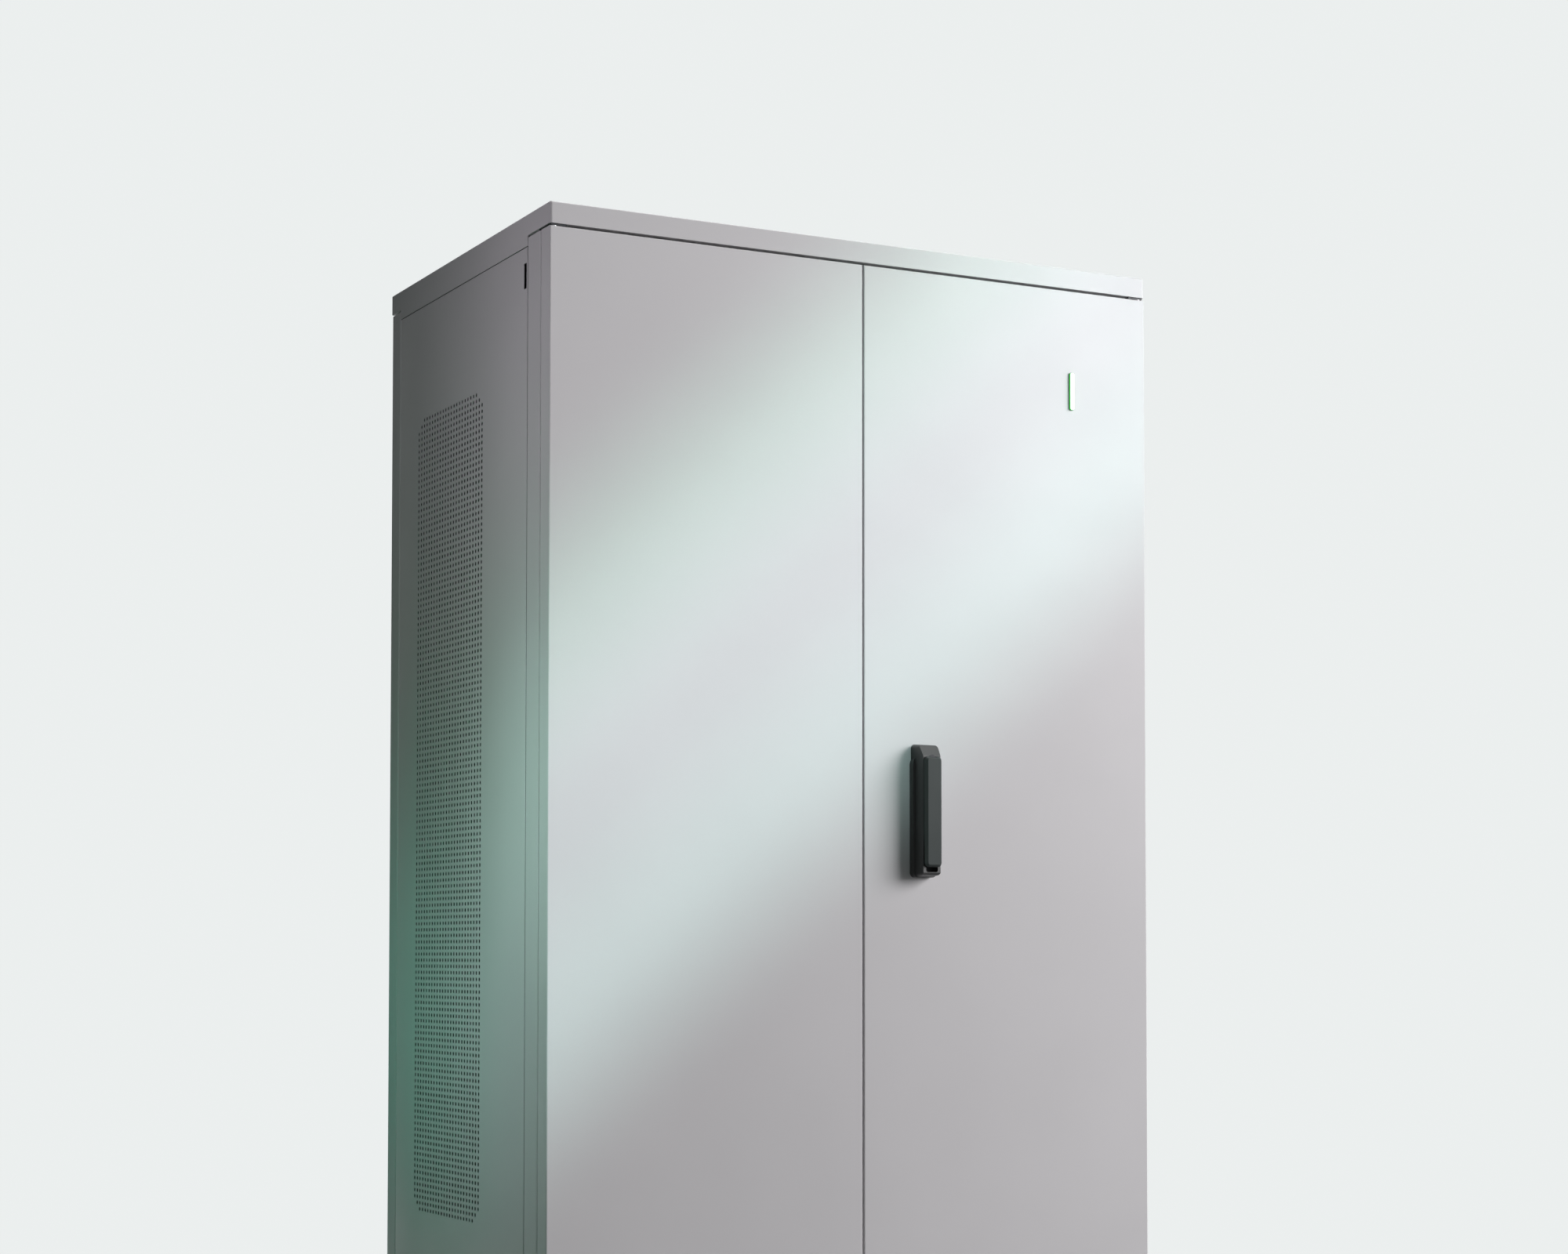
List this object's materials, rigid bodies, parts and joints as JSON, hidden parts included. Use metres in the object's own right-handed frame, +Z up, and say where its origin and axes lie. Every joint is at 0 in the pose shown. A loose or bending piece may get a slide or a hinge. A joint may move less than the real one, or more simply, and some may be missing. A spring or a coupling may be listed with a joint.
{
  "type": "battery cabinet",
  "caption": "Free-standing battery cabinet with two doors, perforated sides, a swing handle with a rod lock, and module racks.",
  "frame": {"origin": "on the floor, at the middle of the four floor bolts under the base", "axes": "+Z up, +X to the right seen from the front, the doors face -Y"},
  "size_m": [1.2, 0.848, 2],
  "materials": {
    "cabinet_paint": "light grey textured powder coat",
    "door_paint": "light grey powder coat",
    "base_paint": "dark grey powder coat",
    "zinc_steel": "zinc plated sheet",
    "bright_steel": "machined steel",
    "handle_black": "black textured coat",
    "lever_black": "black satin coat",
    "seal_rubber": "soft black",
    "module_case": "dark grey",
    "module_front": "dark grey satin",
    "grip_black": "satin black",
    "copper": "bare copper",
    "terminal_brass": "plain brass",
    "insulator_red": "cast resin",
    "unit_paint": "dark grey satin",
    "breaker_case": "mid grey",
    "toggle_black": "black",
    "button_green": "green",
    "light_lens": "translucent green, lit",
    "light_rim": "grey"
  },
  "bodies": {
    "cabinet": {"base_frame": "base_paint", "front_left_post": "cabinet_paint", "front_right_post": "cabinet_paint", "rear_left_post": "cabinet_paint", "rear_right_post": "cabinet_paint", "centre_posts": "zinc_steel", "top_rails": "zinc_steel", "top_ring": "zinc_steel", "side_rails": "cabinet_paint", "roof_cap": "cabinet_paint", "lifting_nuts": "bright_steel", "left_side_panel": "cabinet_paint", "right_side_panel": "cabinet_paint", "left_rear_panel": "cabinet_paint", "right_rear_panel": "cabinet_paint", "rear_panel_screws": "bright_steel", "floor_plate": "zinc_steel", "cable_edge_trims": "seal_rubber", "rack_rails": "zinc_steel", "module_runners": "zinc_steel", "left_battery_modules": "module_case", "right_battery_modules": "module_case", "module_fronts": "module_front", "module_grips": "grip_black", "module_terminals": "terminal_brass", "module_link_bars": "copper", "busbars": "copper", "busbar_supports": "insulator_red", "control_unit": "unit_paint", "switchgear_box": "unit_paint", "main_breaker": "breaker_case", "earth_bar": "copper", "earth_bolts": "bright_steel", "hinge_brackets": "zinc_steel", "hinge_pins": "bright_steel"},
    "left_leaf": {"left_door": "door_paint", "left_door_stiffener": "zinc_steel", "left_door_gasket": "seal_rubber", "left_door_bushes": "bright_steel", "bolt_guides": "grip_black"},
    "upper_bolt": {"upper_slide_bolt": "bright_steel"},
    "lower_bolt": {"lower_slide_bolt": "bright_steel"},
    "right_leaf": {"right_door": "door_paint", "right_door_stiffener": "zinc_steel", "right_door_gasket": "seal_rubber", "right_door_bushes": "bright_steel", "handle_base": "handle_black", "lock_gearbox": "zinc_steel", "rod_guides": "grip_black", "status_light_rim": "light_rim", "status_light_lens": "light_lens", "status_light_body": "light_rim"},
    "spindle": {"handle_spindle": "bright_steel", "lock_pinion": "bright_steel"},
    "lever": {"handle_lever": "lever_black", "lever_pin": "bright_steel"},
    "upper_rod": {"upper_lock_rod": "bright_steel"},
    "lower_rod": {"lower_lock_rod": "bright_steel"},
    "toggle": {"breaker_toggle": "toggle_black"},
    "button": {"power_button": "button_green"}
  },
  "joints": [
    {"name": "left_door_hinge", "type": "hinge", "parent": "cabinet", "child": "left_leaf", "pos_m": [-0.59, -0.39, 0], "axis": [0, 0, 1], "range_deg": [-130, 0]},
    {"name": "right_door_hinge", "type": "hinge", "parent": "cabinet", "child": "right_leaf", "pos_m": [0.59, -0.39, 0], "axis": [0, 0, 1], "range_deg": [0, 130]},
    {"name": "handle_turn", "type": "hinge", "parent": "right_leaf", "child": "spindle", "pos_m": [0.1178, -0.4, 1.07805], "axis": [0, -1, 0], "range_deg": [0, 90]},
    {"name": "lever_lift", "type": "hinge", "parent": "spindle", "child": "lever", "pos_m": [0.1178, -0.44325, 1.07805], "axis": [-1, 0, 0], "range_deg": [0, 40]},
    {"name": "upper_rod_slide", "type": "slide", "parent": "right_leaf", "child": "upper_rod", "axis": [0, 0, -1], "range_m": [0, 0.0213]},
    {"name": "lower_rod_slide", "type": "slide", "parent": "right_leaf", "child": "lower_rod", "axis": [0, 0, 1], "range_m": [0, 0.0213]},
    {"name": "upper_bolt_slide", "type": "slide", "parent": "left_leaf", "child": "upper_bolt", "axis": [0, 0, 1], "range_m": [0, 0.015]},
    {"name": "lower_bolt_slide", "type": "slide", "parent": "left_leaf", "child": "lower_bolt", "axis": [0, 0, -1], "range_m": [0, 0.015]},
    {"name": "toggle_throw", "type": "hinge", "parent": "cabinet", "child": "toggle", "pos_m": [0.29, -0.292, 1.6564], "axis": [1, 0, 0], "range_deg": [0, 50]},
    {"name": "button_press", "type": "slide", "parent": "cabinet", "child": "button", "axis": [0, 1, 0], "range_m": [0, 0.0025], "stiffness_N_per_m": 400}
  ],
  "couplings": [
    {"joint": "upper_rod_slide", "follows": "handle_turn", "m_per_rad": 0.0135},
    {"joint": "lower_rod_slide", "follows": "handle_turn", "m_per_rad": 0.0135}
  ]
}
